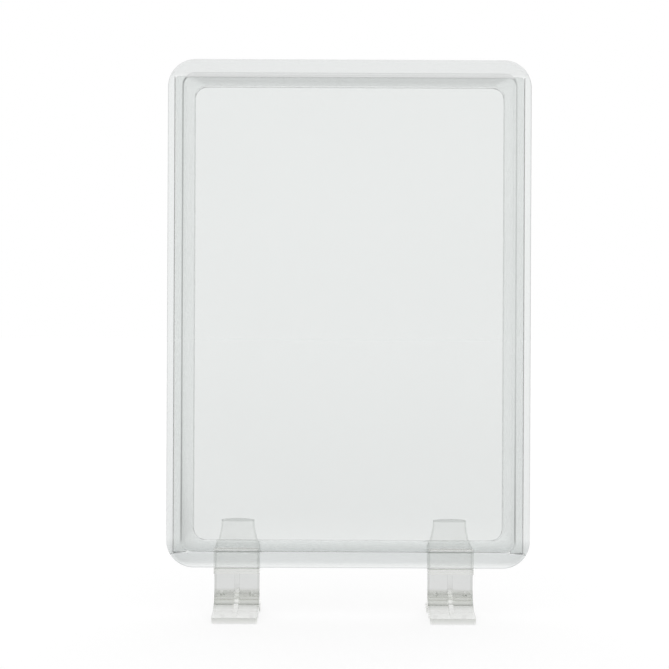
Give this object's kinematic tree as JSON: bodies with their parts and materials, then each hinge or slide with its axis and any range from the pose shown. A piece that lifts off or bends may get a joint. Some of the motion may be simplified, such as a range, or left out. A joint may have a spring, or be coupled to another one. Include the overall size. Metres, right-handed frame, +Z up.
{
  "type": "sign stand",
  "caption": "Clear plastic portrait frame for an A4 card, loaded through a slot in its top edge, standing on clip-on feet that slide along the bottom rim.",
  "frame": {"origin": "on the standing surface, under the middle of the frame's width and depth", "axes": "+Z up, +X along the frame's width to the viewer's right, -Y out of the front"},
  "size_m": [0.218, 0.049, 0.3341],
  "materials": {
    "clear_shell": "clear moulded plastic, polished, colourless",
    "clear_film": "clear film, smooth, faintly grey-green",
    "clear_foot": "clear moulded plastic, a little greyer than the frame"
  },
  "bodies": {
    "frame": {"front_shell": "clear_shell", "rear_shell": "clear_shell"},
    "pocket": {"card_pocket": "clear_film"},
    "left_foot": {"left_foot": "clear_foot"},
    "right_foot": {"right_foot": "clear_foot"}
  },
  "joints": [
    {"name": "pocket_slide", "type": "slide", "parent": "frame", "child": "pocket", "axis": [0, 0, 1], "range_m": [0, 0.3]},
    {"name": "left_foot_slide", "type": "slide", "parent": "frame", "child": "left_foot", "axis": [1, 0, 0], "range_m": [-0.009, 0.0525]},
    {"name": "right_foot_slide", "type": "slide", "parent": "frame", "child": "right_foot", "axis": [1, 0, 0], "range_m": [-0.0474, 0.0141]}
  ]
}
